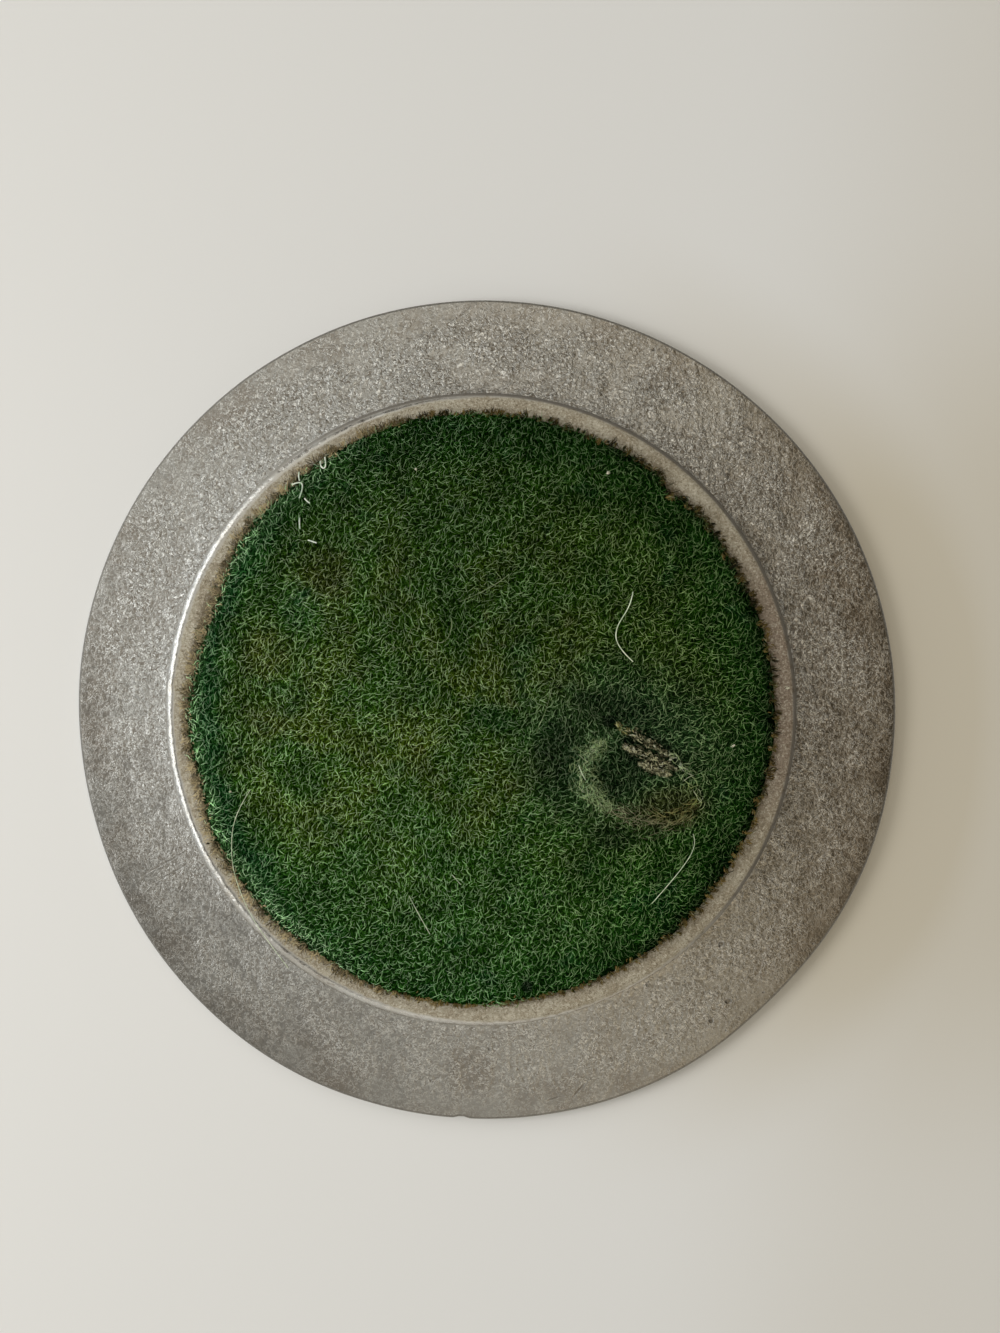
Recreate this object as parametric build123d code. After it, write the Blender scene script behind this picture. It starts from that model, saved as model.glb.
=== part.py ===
from build123d import *

import math
import os

# A cast-metal coaster for a wine bottle: a shallow round dish on a glued felt pad.
# Lengths are in millimetres and angles in degrees. The dish is shown as it stands on
# a table: +Z is up, its axis is the Z axis, and the pad's underside lies at Z = 0.

# The casting, across
RIM_DIAMETER = 174.0
FOOT_DIAMETER = 130.0  # at the corner between the foot's face and its side

# The casting, up and down
FOOT_DEPTH = 5.5  # from the root of the flange down to the foot's face
FLANGE_RISE = 5.0  # from the root of the flange up to the rim's lower corner
FLANGE_BOW = 0.4  # how far the flange's curve lies above a straight slope

# The casting's walls
FLOOR_THICKNESS = 3.6
WALL_THICKNESS = 3.4  # the side of the well, measured level
FLANGE_THICKNESS = 3.2  # at its root
RIM_THICKNESS = 2.8  # the upright edge of the rim
WALL_DRAFT = 8.0  # how far the side of the well leans outwards

# The casting's rounded corners
FOOT_SHOULDER_RADIUS = 2.0
FLANGE_ROOT_RADIUS = 0.8
RIM_LOWER_RADIUS = 0.7
RIM_UPPER_RADIUS = 1.2
WELL_LIP_RADIUS = 2.5
WELL_CORNER_RADIUS = 3.0

# The glue, a film on the foot's face that was squeezed out past the felt
GLUE_THICKNESS = 0.3
GLUE_SETBACK = 0.4  # from the start of the foot's shoulder in to the glue's edge
GLUE_RING = 2.6  # the width of glue that shows round the felt

# The felt
FELT_THICKNESS = 2.0
FELT_EDGE_RADIUS = 0.5

# Levels
GLUE_BOTTOM = FELT_THICKNESS
FOOT_FACE = GLUE_BOTTOM + GLUE_THICKNESS
FLANGE_ROOT = FOOT_FACE + FOOT_DEPTH
RIM_BOTTOM = FLANGE_ROOT + FLANGE_RISE
RIM_TOP = RIM_BOTTOM + RIM_THICKNESS
WELL_FLOOR = FOOT_FACE + FLOOR_THICKNESS
WELL_LIP = FLANGE_ROOT + FLANGE_THICKNESS

# Radii
RIM_RADIUS = RIM_DIAMETER / 2
FOOT_RADIUS = FOOT_DIAMETER / 2
GLUE_RADIUS = FOOT_RADIUS - FOOT_SHOULDER_RADIUS - GLUE_SETBACK
FELT_RADIUS = GLUE_RADIUS - GLUE_RING


def wall_outside(level):
    """The radius of the foot's leaning side at a level."""
    return FOOT_RADIUS + (level - FOOT_FACE) * math.tan(math.radians(WALL_DRAFT))


def wall_inside(level):
    """The radius of the well's leaning side at a level."""
    return wall_outside(level) - WALL_THICKNESS


def flange_curve(start, end):
    """An arc between two points of the section, bowed upwards by the flange's bow."""
    middle = (Vector(*start) + Vector(*end)) / 2
    return ThreePointArc(start, middle + Vector(0, FLANGE_BOW), end)


def round_corner(section, corner, radius):
    """The section with its corner at a point rounded."""
    return fillet(section.vertices().sort_by_distance(corner)[0], radius)


def casting_section():
    """Half of the dish, cut through its axis: radius along X and level along Y."""
    foot_middle = (0, FOOT_FACE)
    foot_corner = (FOOT_RADIUS, FOOT_FACE)
    flange_root = (wall_outside(FLANGE_ROOT), FLANGE_ROOT)
    rim_lower = (RIM_RADIUS, RIM_BOTTOM)
    rim_upper = (RIM_RADIUS, RIM_TOP)
    well_lip = (wall_inside(WELL_LIP), WELL_LIP)
    well_corner = (wall_inside(WELL_FLOOR), WELL_FLOOR)
    well_middle = (0, WELL_FLOOR)

    underside = Polyline(foot_middle, foot_corner, flange_root) + flange_curve(flange_root, rim_lower)
    top_side = flange_curve(rim_upper, well_lip) + Polyline(well_lip, well_corner, well_middle)
    closing = Line(rim_lower, rim_upper) + Line(well_middle, foot_middle)
    section = make_face(underside + top_side + closing)

    section = round_corner(section, foot_corner, FOOT_SHOULDER_RADIUS)
    section = round_corner(section, flange_root, FLANGE_ROOT_RADIUS)
    section = round_corner(section, rim_lower, RIM_LOWER_RADIUS)
    section = round_corner(section, rim_upper, RIM_UPPER_RADIUS)
    section = round_corner(section, well_lip, WELL_LIP_RADIUS)
    return round_corner(section, well_corner, WELL_CORNER_RADIUS)


def disc(radius, bottom, thickness):
    """A flat round plate that lies at a level."""
    lying_on = (Align.CENTER, Align.CENTER, Align.MIN)
    return Pos(Z=bottom) * Cylinder(radius, thickness, align=lying_on)


def cast_dish():
    """Floor, foot, well and flange in one casting."""
    return revolve(Plane.XZ * casting_section(), Axis.Z)


def glue_film():
    """The dried glue between the foot's face and the felt."""
    return disc(GLUE_RADIUS, GLUE_BOTTOM, GLUE_THICKNESS)


def felt_pad():
    """The felt that the coaster stands on, with its lower edge worn round."""
    pad = disc(FELT_RADIUS, 0, FELT_THICKNESS)
    lower_edge = pad.edges().filter_by(GeomType.CIRCLE).sort_by(Axis.Z)[0]
    return fillet(lower_edge, FELT_EDGE_RADIUS)


PIECES = {
    "cast_dish": cast_dish(),
    "glue_film": glue_film(),
    "felt_pad": felt_pad(),
}

os.makedirs("parts", exist_ok=True)
for name, piece in PIECES.items():
    piece.label = name
    export_step(piece, f"parts/{name}.step")
    print(f"{name}: {piece.volume / 1000:.1f} cm3")
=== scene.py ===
# %% [markdown]
# # A cast wine bottle coaster, seen from below
# The coaster is a shallow round dish, sand-cast in a grey alloy, with a green felt pad
# glued under its foot. We look at it from below, because its underside has the most to
# show: cast grain, a rubbed foot, old glue and worn wool. The dish stands at its real
# place and size, in metres, with +Z up and the felt's underside at Z = 0.

# %% Load the construction
import math

import bmesh
import bpy
import numpy as np
from mathutils import Matrix, Vector, noise


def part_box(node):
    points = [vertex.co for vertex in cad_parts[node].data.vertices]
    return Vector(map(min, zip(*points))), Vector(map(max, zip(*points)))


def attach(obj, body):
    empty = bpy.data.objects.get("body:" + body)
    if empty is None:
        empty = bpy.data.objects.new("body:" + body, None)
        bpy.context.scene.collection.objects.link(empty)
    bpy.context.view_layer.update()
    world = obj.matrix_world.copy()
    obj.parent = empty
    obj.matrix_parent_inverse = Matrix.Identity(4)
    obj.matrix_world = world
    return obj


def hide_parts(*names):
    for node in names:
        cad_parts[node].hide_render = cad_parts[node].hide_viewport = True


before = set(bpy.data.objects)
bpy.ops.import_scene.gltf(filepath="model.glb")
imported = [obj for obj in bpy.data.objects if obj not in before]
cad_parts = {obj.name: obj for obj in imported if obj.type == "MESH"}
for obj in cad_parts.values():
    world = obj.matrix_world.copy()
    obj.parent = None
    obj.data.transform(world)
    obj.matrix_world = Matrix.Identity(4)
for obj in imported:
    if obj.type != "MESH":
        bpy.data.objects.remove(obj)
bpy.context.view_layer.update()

MM = 0.001

# %% [markdown]
# ## Where the pieces are
# Every size that the construction already holds is read from it, so that the looks follow
# the dish when it is changed. Only the shape of the section between those sizes is repeated
# here, in the same words.

# %% Read the sizes
dish_low, dish_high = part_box("cast_dish")
glue_low, glue_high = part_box("glue_film")
felt_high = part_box("felt_pad")[1]

RIM_RADIUS = dish_high.x
FOOT_FACE = dish_low.z
RIM_TOP = dish_high.z
GLUE_RADIUS = glue_high.x
GLUE_BOTTOM = glue_low.z
FELT_RADIUS = felt_high.x
FELT_TOP = felt_high.z
print(f"rim {2 * RIM_RADIUS / MM:.1f} mm, felt {2 * FELT_RADIUS / MM:.1f} mm across")

# %% [markdown]
# ## The camera
# The view is from straight below, a little to one side and about 300 mm off. A camera looks
# along its own -Z, so we build its three axes from the direction to the target and from the
# way that is up in the picture, which is -Y.

# %% Set the camera
CAMERA_PLACE = Vector((23.2, -5.2, -300.6)) * MM
CAMERA_TARGET = Vector((4.2, -8.8, 14.0)) * MM
PICTURE_UP = Vector((0, -1, 0))
LENS_MM = 40.0


def new_object(name, data):
    """An object in the scene that holds this mesh, lamp or camera."""
    made = bpy.data.objects.new(name, data)
    bpy.context.scene.collection.objects.link(made)
    return made


def set_camera():
    forward = (CAMERA_TARGET - CAMERA_PLACE).normalized()
    right = forward.cross(PICTURE_UP).normalized()
    up = right.cross(forward)
    axes = Matrix((right, up, -forward)).transposed().to_4x4()
    camera = new_object("camera", bpy.data.cameras.new("camera"))
    camera.data.lens = LENS_MM
    camera.matrix_world = Matrix.Translation(CAMERA_PLACE) @ axes
    bpy.context.scene.camera = camera


set_camera()
print(f"camera {(CAMERA_TARGET - CAMERA_PLACE).length / MM:.1f} mm from its target")

# %% [markdown]
# ## Sums with sockets
# A finish is a tree of nodes, and most of them do plain sums. A small class around a socket
# lets us write those sums as Python does, such as `1 - mask`, and adds the Math nodes for us.
# Every other node comes from one method that takes its type, its settings and its sockets.


# %% A socket that can be added and multiplied
class Signal:
    """A number, colour or vector that a node gives out."""

    def __init__(self, finish, socket):
        self.finish = finish
        self.socket = socket

    def math(self, operation, *others):
        return self.finish.node("ShaderNodeMath", {"operation": operation}, dict(enumerate([self, *others])))

    def __add__(self, other):
        return self.math("ADD", other)

    def __mul__(self, other):
        return self.math("MULTIPLY", other)

    def __sub__(self, other):
        return self.math("SUBTRACT", other)

    def __rsub__(self, other):
        return (self * -1) + other

    def __pow__(self, other):
        return self.math("POWER", other)

    __radd__ = __add__
    __rmul__ = __mul__


# %% A finish and its nodes
class Finish:
    """A node tree that a material, or the world, is built from."""

    def __init__(self, tree):
        self.tree = tree
        tree.nodes.clear()

    def node(self, kind, settings=None, sockets=None, out=0):
        """A new node: settings are its options, and sockets are its inputs, fed or set."""
        made = self.tree.nodes.new(kind)
        for name, value in (settings or {}).items():
            setattr(made, name, value)
        for name, value in (sockets or {}).items():
            if isinstance(value, Signal):
                self.tree.links.new(value.socket, made.inputs[name])
            else:
                made.inputs[name].default_value = value
        return Signal(self, made.outputs[out]) if len(made.outputs) else None

    def place(self):
        """Object coordinates, which are metres in the dish's own frame."""
        return self.node("ShaderNodeTexCoord", out="Object")

    def cloud(self, size, detail=3.0, rough=0.5, place=None, twist=0.0):
        """Soft noise from 0 to 1, whose lumps are about one size across."""
        sockets = {"Scale": 1 / size, "Detail": detail, "Roughness": rough, "Distortion": twist}
        return self.node("ShaderNodeTexNoise", None, {"Vector": place or self.place(), **sockets})

    def ramp(self, value, low, high, start=0.0, end=1.0):
        """A number that goes smoothly from start at low to end at high."""
        sockets = {"Value": value, "From Min": low, "From Max": high, "To Min": start, "To Max": end}
        return self.node("ShaderNodeMapRange", {"interpolation_type": "SMOOTHSTEP"}, sockets)

    def blots(self, size, detail, rough, low, high, start=0.0, end=1.0):
        """A cloud with its ramp: blots where the noise is towards high."""
        return self.ramp(self.cloud(size, detail, rough), low, high, start, end)

    def mix(self, share, first, second, blend="MIX"):
        """Two colours mixed by a share."""
        settings = {"data_type": "RGBA", "blend_type": blend}
        return self.node("ShaderNodeMix", settings, {0: share, 6: first, 7: second}, out=2)

    def coats(self, base, layers):
        """A colour with others laid over it one after another, each by its share."""
        for share, shade in layers:
            base = self.mix(share, base, shade)
        return base

    def dim(self, shade, share):
        """A colour times a number."""
        return self.node("ShaderNodeVectorMath", {"operation": "SCALE"}, {0: shade, "Scale": share})

    def bump(self, height, depth):
        """Normals for a relief of this depth."""
        return self.node("ShaderNodeBump", None, {"Height": height, "Distance": depth, "Strength": 1.0})

    def tone(self):
        """The tone that each fibre carries: dark at 0, pale at 1 and above."""
        return self.node("ShaderNodeAttribute", {"attribute_name": "tone"}, out="Fac")

    def spot(self, x, y, across, along, turn=0.0, soft=0.5):
        """1 inside an ellipse on the underside, fading to 0 at its edge."""
        settings = {"vector_type": "TEXTURE"}
        sockets = {
            "Vector": self.place(),
            "Location": (x, y, 0),
            "Rotation": (0, 0, math.radians(turn)),
            "Scale": (across, along, 1),
        }
        inside = self.node("ShaderNodeMapping", settings, sockets)
        far = self.node("ShaderNodeVectorMath", {"operation": "LENGTH"}, {0: inside}, out="Value")
        return self.ramp(far, 1 + soft / 2, 1 - soft / 2)

    def axis(self, name):
        """The X, Y or Z of a place."""
        return self.node("ShaderNodeSeparateXYZ", None, {"Vector": self.place()}, out=name)

    def spokes(self, radius):
        """Places measured round the axis and outwards, where noise is drawn out into spokes."""
        turn = self.axis("Y").math("ARCTAN2", self.axis("X"))
        sockets = {"X": turn * radius, "Y": self.distance_from_axis() * 0.2, "Z": 0.0}
        return self.node("ShaderNodeCombineXYZ", None, sockets)

    def distance_from_axis(self):
        """How far out a place is."""
        flat = self.node("ShaderNodeVectorMath", {"operation": "MULTIPLY"}, {0: self.place(), 1: (1, 1, 0)})
        return self.node("ShaderNodeVectorMath", {"operation": "LENGTH"}, {0: flat}, out="Value")

    def from_window(self):
        """How far a place is from the side of the window, as seen from below."""
        return self.axis("X") * 0.75 - self.axis("Y") * 0.65


# %% Open and close a finish
def colour(red, green, blue):
    return (red, green, blue, 1.0)


def new_finish(name):
    """A new material, as the finish that fills its tree."""
    material = bpy.data.materials.new(name)
    material.use_nodes = True
    finish = Finish(material.node_tree)
    finish.material = material
    return finish


def surface(finish, sockets):
    """Closes a finish with one Principled shader and gives its material."""
    shader = finish.node("ShaderNodeBsdfPrincipled", None, sockets)
    finish.node("ShaderNodeOutputMaterial", None, {"Surface": shader})
    return finish.material


# %% [markdown]
# ## The casting
# A dish like this could be lofted or sculpted, but it is round, so one spin makes it: we draw
# half of its section, from the axis out to the rim and back, and turn it about Z. The corners
# are then bevelled as rings of edges. The rim of a sand casting is filed by hand where the
# metal ran in, so it is not quite round, and the flange is never quite flat.

# %% Draw the section
FOOT_RADIUS = 65.0 * MM
FOOT_DEPTH = 5.5 * MM
FLANGE_RISE = 5.0 * MM
FLANGE_BOW = 0.4 * MM
FLOOR_THICKNESS = 3.6 * MM
WALL_THICKNESS = 3.4 * MM
FLANGE_THICKNESS = 3.2 * MM
RIM_THICKNESS = 2.8 * MM
WALL_LEAN = math.tan(math.radians(8.0))

FLANGE_ROOT = FOOT_FACE + FOOT_DEPTH
RIM_BOTTOM = FLANGE_ROOT + FLANGE_RISE
WELL_FLOOR = FOOT_FACE + FLOOR_THICKNESS
WELL_LIP = FLANGE_ROOT + FLANGE_THICKNESS
RING_STEP = 1.1 * MM
CORNER_CLEAR = 3.2 * MM


def wall_outside(level):
    return FOOT_RADIUS + (level - FOOT_FACE) * WALL_LEAN


def stretch(start, end, bow=0.0, clear=CORNER_CLEAR):
    """Points between two corners, clear of both, on a curve that rises above the straight line."""
    start, end = Vector(start), Vector(end)
    length = (end - start).length
    count = round((length - 2 * clear) / RING_STEP)
    shares = [(clear + (length - 2 * clear) * step / count) / length for step in range(count + 1)]
    return [start.lerp(end, share) + Vector((0, 4 * bow * share * (1 - share))) for share in shares]


foot_middle = (0, FOOT_FACE)
foot_corner = (FOOT_RADIUS, FOOT_FACE)
flange_root = (wall_outside(FLANGE_ROOT), FLANGE_ROOT)
rim_lower = (RIM_RADIUS, RIM_BOTTOM)
rim_upper = (RIM_RADIUS, RIM_BOTTOM + RIM_THICKNESS)
well_lip = (wall_outside(WELL_LIP) - WALL_THICKNESS, WELL_LIP)
well_corner = (wall_outside(WELL_FLOOR) - WALL_THICKNESS, WELL_FLOOR)
well_middle = (0, WELL_FLOOR)

section = [foot_middle, *stretch(foot_middle, foot_corner), foot_corner]
section += [flange_root, *stretch(flange_root, rim_lower, FLANGE_BOW), rim_lower]
section += [rim_upper, *stretch(rim_upper, well_lip, FLANGE_BOW), well_lip]
section += [well_corner, *stretch(well_corner, well_middle), well_middle]
print("section points", len(section))

# %% Spin it and round its corners
TURN_STEPS = 480

# Each corner with its radius, the facets across it and its profile: 0.5 is round, less is flatter
CORNERS = {
    foot_corner: (2.0 * MM, 7, 0.38),
    flange_root: (0.5 * MM, 2, 0.5),
    rim_lower: (0.7 * MM, 3, 0.5),
    rim_upper: (1.2 * MM, 4, 0.5),
    well_lip: (2.5 * MM, 5, 0.5),
    well_corner: (3.0 * MM, 6, 0.5),
}


def spin_section(bm, outline, steps):
    points = [bm.verts.new((radius, 0, level)) for radius, level in outline]
    lines = [bm.edges.new(pair) for pair in zip(points, points[1:])]
    full_turn = {"cent": (0, 0, 0), "axis": (0, 0, 1), "angle": 2 * math.pi, "use_merge": True}
    bmesh.ops.spin(bm, geom=points + lines, steps=steps, **full_turn)
    bmesh.ops.remove_doubles(bm, verts=bm.verts, dist=1e-7)
    bmesh.ops.recalc_face_normals(bm, faces=bm.faces)


def ring_edges(bm, radius, level):
    """The edges of the circle at a radius and a level."""
    near = 1e-5

    def on_ring(vert):
        return abs(vert.co.z - level) < near and abs(math.hypot(vert.co.x, vert.co.y) - radius) < near

    return [edge for edge in bm.edges if on_ring(edge.verts[0]) and on_ring(edge.verts[1])]


def round_ring(bm, outline, corner, radius, segments, profile):
    """Rounds a corner of the section all the way round; a sharper turn needs a wider bevel."""
    place = outline.index(corner)
    before = Vector(corner) - Vector(outline[place - 1])
    after = Vector(outline[place + 1]) - Vector(corner)
    width = radius * math.tan(before.angle(after) / 2)
    settings = {"affect": "EDGES", "offset_type": "OFFSET", "profile": profile, "material": -1}
    bmesh.ops.bevel(bm, geom=ring_edges(bm, *corner), offset=width, segments=segments, **settings)


casting = bmesh.new()
spin_section(casting, section, TURN_STEPS)
for corner, rounding in CORNERS.items():
    round_ring(casting, section, corner, *rounding)
print("casting faces", len(casting.faces))

# %% [markdown]
# ## The hand of the foundry
# A perfect circle looks turned, not cast. We push the outer part of the dish in or out by a
# fraction of a millimetre at a few places round the rim, and let slow noise lift the flange.

# %% Make the rim uneven
# Angle in degrees, depth in mm and half width in degrees of each flat; the narrow one is a nick
RIM_FLATS = [
    (45, -0.65, 11),
    (165, -0.35, 14),
    (120, 0.35, 16),
    (300, -0.45, 30),
    (20, 0.15, 9),
    (92.6, -0.5, 0.7),
]
FLANGE_WAVES = 0.16 * MM
WAVE_SIZE = 15.0 * MM


def rim_offset(angle):
    """How far the rim is filed in, or stands out, at an angle in degrees."""
    total = 0.0
    for middle, depth, width in RIM_FLATS:
        away = (angle - middle + 180) % 360 - 180
        total += depth * MM * math.exp(-((away / width) ** 2))
    return total


def roughen_rim(bm):
    for vert in bm.verts:
        radius = math.hypot(vert.co.x, vert.co.y)
        outward = min(max((radius - FOOT_RADIUS) / (RIM_RADIUS - FOOT_RADIUS), 0), 1)
        if outward > 0:
            angle = math.degrees(math.atan2(vert.co.y, vert.co.x))
            vert.co.xy *= 1 + rim_offset(angle) * outward**2 / radius
            vert.co.z += FLANGE_WAVES * outward * noise.noise(Vector((vert.co.x, vert.co.y, 0)) / WAVE_SIZE)


roughen_rim(casting)
print(f"rim filed in by up to {-min(map(rim_offset, range(360))) / MM:.2f} mm")

# %% Sort the faces by finish
SAND_CAST, RUBBED, SATIN, FILED = range(4)
FILED_BAND = 2.5 * MM
FILED_LOW, FILED_HIGH = -0.93, 0.3
FACES_UP = 0.2
WALL_MARGIN = 0.2 * MM
FLOOR_MARGIN = 0.1 * MM


def finish_of(face):
    """Sand-cast under the flange, filed at the rim, rubbed on the foot, satin on top."""
    middle = face.calc_center_median()
    radius = math.hypot(middle.x, middle.y)
    if radius > RIM_RADIUS - FILED_BAND and FILED_LOW < face.normal.z < FILED_HIGH:
        return FILED
    if face.normal.z > FACES_UP:
        return SATIN
    if radius > wall_outside(FLANGE_ROOT) - WALL_MARGIN:
        return SAND_CAST
    in_well = middle.z > WELL_FLOOR - FLOOR_MARGIN and radius < FOOT_RADIUS - WALL_THICKNESS
    return SATIN if in_well else RUBBED


casting.normal_update()
for face in casting.faces:
    face.material_index = finish_of(face)


def mesh_of(name, bm):
    """The mesh that a bmesh has built up."""
    mesh = bpy.data.meshes.new(name)
    bm.to_mesh(mesh)
    bm.free()
    return mesh


def new_piece(name, bm, materials, replaced):
    """Turns a bmesh into a smooth piece of the coaster that stands in for one of its nodes."""
    for face in bm.faces:
        face.smooth = True
    return dress(name, mesh_of(name, bm), materials, replaced)


def dress(name, mesh, materials, replaced=None):
    """Puts a mesh into the scene with its materials and tells the frame what it is."""
    piece = new_object(name, mesh)
    for material in materials:
        mesh.materials.append(material)
    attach(piece, "root")
    if replaced:
        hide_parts(replaced)
    print(f"{name}: {len(mesh.polygons)} faces")
    return piece


# %% [markdown]
# ## Cast, rubbed, filed and satin alloy
# One alloy shows four finishes. Under the flange it keeps the grain of the sand: bumps just
# under a millimetre across, with pale ridges that are partly worn metal and partly painted
# highlight, painted glints, brown oxide in the low places, and a browner right side that is
# painted shade. The foot is rubbed smooth and smeared with old glue, with a dark line of painted
# shade at its step. The rim is filed and painted dark as painted shade at its edge, and the top
# is satin with fine turning lines. All share one warm grey and one function for its stains.

# %% Colours and marks of the alloy
ALLOY = colour(0.43, 0.41, 0.365)
ALLOY_BRIGHT = colour(0.60, 0.58, 0.53)
ALLOY_DULL = colour(0.45, 0.40, 0.32)
ALLOY_BROWN = colour(0.24, 0.195, 0.145)
ALLOY_DARK = colour(0.20, 0.18, 0.15)
# Near-black of the filed rim: painted shade at the rim's edge
FILED_RIM_SHADE = colour(0.10, 0.09, 0.075)
# Pale ridges are partly worn metal and partly painted highlight; glints are painted highlight
RIDGE_WEAR_AND_HIGHLIGHT = colour(0.76, 0.74, 0.68)
HOLLOW = colour(0.22, 0.19, 0.15)
PAINTED_GLINT = colour(0.78, 0.76, 0.71)
# Painted shade for the dark line at the foot's step
FOOT_STEP_SHADE = colour(0.075, 0.062, 0.045)

# Marks left by the mould and by use, in mm: x, y, half width, half length, turn in degrees
CAST_PITS = [(50.4, 48.8, 0.5, 0.6, 20), (52.1, 61.1, 0.6, 0.5, 0), (48.5, 65.3, 0.5, 0.4, 40)]
OXIDE = [(-2.1, 76.0, 4.6, 4.8, 0), (79.0, -20.0, 3.0, 8.0, 10), (73.0, -27.0, 4.0, 5.0, 0)]
SCRATCHES = [
    (-66.3, 32.6, 5.5, 0.2, -29),
    (-65.0, 34.8, 4.5, 0.16, -29),
    (21.0, 80.2, 2.2, 0.22, -50),
    (15.8, 82.1, 1.6, 0.22, -20),
]


def marks(finish, places, soft):
    """1 inside each of these marks."""
    total = 0.0
    for x, y, across, along, turn in places:
        total = finish.spot(x * MM, y * MM, across * MM, along * MM, turn, soft) + total
    return total


def stained_alloy(finish, amount):
    """The alloy's colour with slow brown stains."""
    return finish.coats(ALLOY, [
        (finish.blots(34 * MM, 5, 0.6, 0.42, 0.72) * amount, ALLOY_BROWN),
        (finish.blots(9 * MM, 4, 0.6, 0.45, 0.8) * (amount * 0.6), ALLOY_BRIGHT),
    ])


# %% Sand-cast alloy
CAST_GRAIN = 0.70 * MM
CAST_SWELL = 2.4 * MM
CAST_GRIT = 0.2 * MM
CAST_RELIEF = 0.33 * MM


def kept_grain(finish, out):
    """How much of the grain is left: less at the rim, in patches and at the picture's bottom."""
    at_rim = finish.ramp(out, RIM_RADIUS - 1 * MM, RIM_RADIUS - 10 * MM, 0.5, 1.05)
    patches = finish.blots(8 * MM, 3, 0.6, 0.35, 0.62, 0.6, 1.15)
    return at_rim * patches * finish.ramp(finish.axis("Y"), 50 * MM, -30 * MM, 0.84, 1.5)


def browned_flange(finish, out):
    """The stained alloy, browner near the rim and at a few marks, and browner on the right as painted shade.
    """
    near_rim = finish.ramp(out, RIM_RADIUS - 13 * MM, RIM_RADIUS - 3 * MM)
    return finish.coats(stained_alloy(finish, 0.35), [
        (near_rim * finish.blots(11 * MM, 4, 0.6, 0.4, 0.65) * 0.45, ALLOY_BROWN),
        (marks(finish, OXIDE, 0.9) * 0.4, ALLOY_BROWN),
        # Painted shade: browner and darker on the right, away from the window
        (finish.ramp(finish.axis("X"), 48 * MM, 80 * MM) * 0.5, ALLOY_BROWN),
    ])


def sand_cast_alloy():
    finish = new_finish("sand_cast_alloy")
    out = finish.distance_from_axis()
    kept = kept_grain(finish, out)
    grain = finish.cloud(CAST_GRAIN, 1.6, 0.5, twist=0.9)
    swells = finish.cloud(CAST_SWELL, 2.0, 0.5)
    grit = finish.cloud(CAST_GRIT, 1.0, 0.5)
    pits = finish.blots(1.5 * MM, 2, 0.5, 0.28, 0.2) + marks(finish, CAST_PITS, 0.7)
    scratches = marks(finish, SCRATCHES, 0.9)
    broken = finish.blots(1.0 * MM, 2, 0.5, 0.38, 0.52)
    ridges = finish.ramp((grain - 0.5).math("ABSOLUTE"), 0.065, 0.02) * broken
    hollows = finish.ramp(grain, 0.45, 0.34) * kept
    base = finish.coats(finish.dim(browned_flange(finish, out), 0.86), [
        # Painted highlight: the pale ridges in part, and all of the glints
        (ridges * kept * 0.74, RIDGE_WEAR_AND_HIGHLIGHT),
        (hollows * 0.45, HOLLOW),
        (finish.blots(0.4 * MM, 1, 0.5, 0.68, 0.76) * kept, PAINTED_GLINT),
        (pits * 0.8 + scratches * 0.6, ALLOY_DARK),
    ])
    bumps = grain * 0.7 + ridges * 0.12 + swells * 0.8 + grit * 0.15
    return surface(finish, {
        "Base Color": base,
        "Metallic": 1.0,
        "Roughness": 0.28 + hollows * 0.12 + grit * 0.08,
        "Normal": finish.bump(bumps * kept - pits * 0.6 - scratches * 0.4, CAST_RELIEF),
    })


# %% The colour of dried glue
GLUE_TAN = colour(0.39, 0.355, 0.275)
GLUE_DULL = colour(0.295, 0.255, 0.185)
GLUE_IN_SHADE = colour(0.235, 0.18, 0.14)
GLUE_STREAK = colour(0.50, 0.46, 0.36)
GLUE_DUST = colour(0.58, 0.545, 0.45)
GLUE_DIRT = colour(0.13, 0.10, 0.06)
GLUE_GRIME_AND_SHADE = colour(0.085, 0.06, 0.028)
GLUE_RELIEF = 0.2 * MM


def glue_tan(finish):
    """Tan and blotchy, with pale streaks and dust; browner on the right as painted shade, a dark band at the
    felt that is dirt and painted shade, and a little lighter towards the right as painted light.
    """
    dust = finish.cloud(0.42 * MM, 3, 0.65, twist=1.0)
    streaks = finish.cloud(0.6 * MM, 4, 0.7, place=finish.spokes(FELT_RADIUS), twist=0.6)
    out = finish.distance_from_axis() + (dust - 0.5) * (2.4 * MM)
    tan = finish.coats(GLUE_TAN, [
        (finish.blots(4 * MM, 5, 0.65, 0.38, 0.62), GLUE_DULL),
        # Painted shade: browner on the right of the ring
        (finish.spot(66 * MM, -7 * MM, 16 * MM, 27 * MM, 0, 0.9) * 0.85, GLUE_IN_SHADE),
        (finish.ramp(streaks, 0.5, 0.7) * 0.3, GLUE_STREAK),
        (finish.ramp(dust, 0.53, 0.62) * 0.75, GLUE_DUST),
        (finish.ramp(dust, 0.46, 0.36) * 0.75, GLUE_DIRT),
        # Dirt and painted shade in a dark band at the felt's edge, under the fringe
        (finish.ramp(out, FELT_RADIUS + 1.3 * MM, FELT_RADIUS + 0.3 * MM) * 0.65, GLUE_GRIME_AND_SHADE),
    ])
    # Painted light: a little lighter towards the right, against the felt's shadow on the ring
    return finish.dim(tan, finish.ramp(finish.axis("X"), -62 * MM, 35 * MM, 1.02, 1.12))


def glue_lint(finish):
    """The lint under the skin of the glue, as a relief."""
    return finish.cloud(0.7 * MM, 4, 0.7, twist=1.5)


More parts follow.
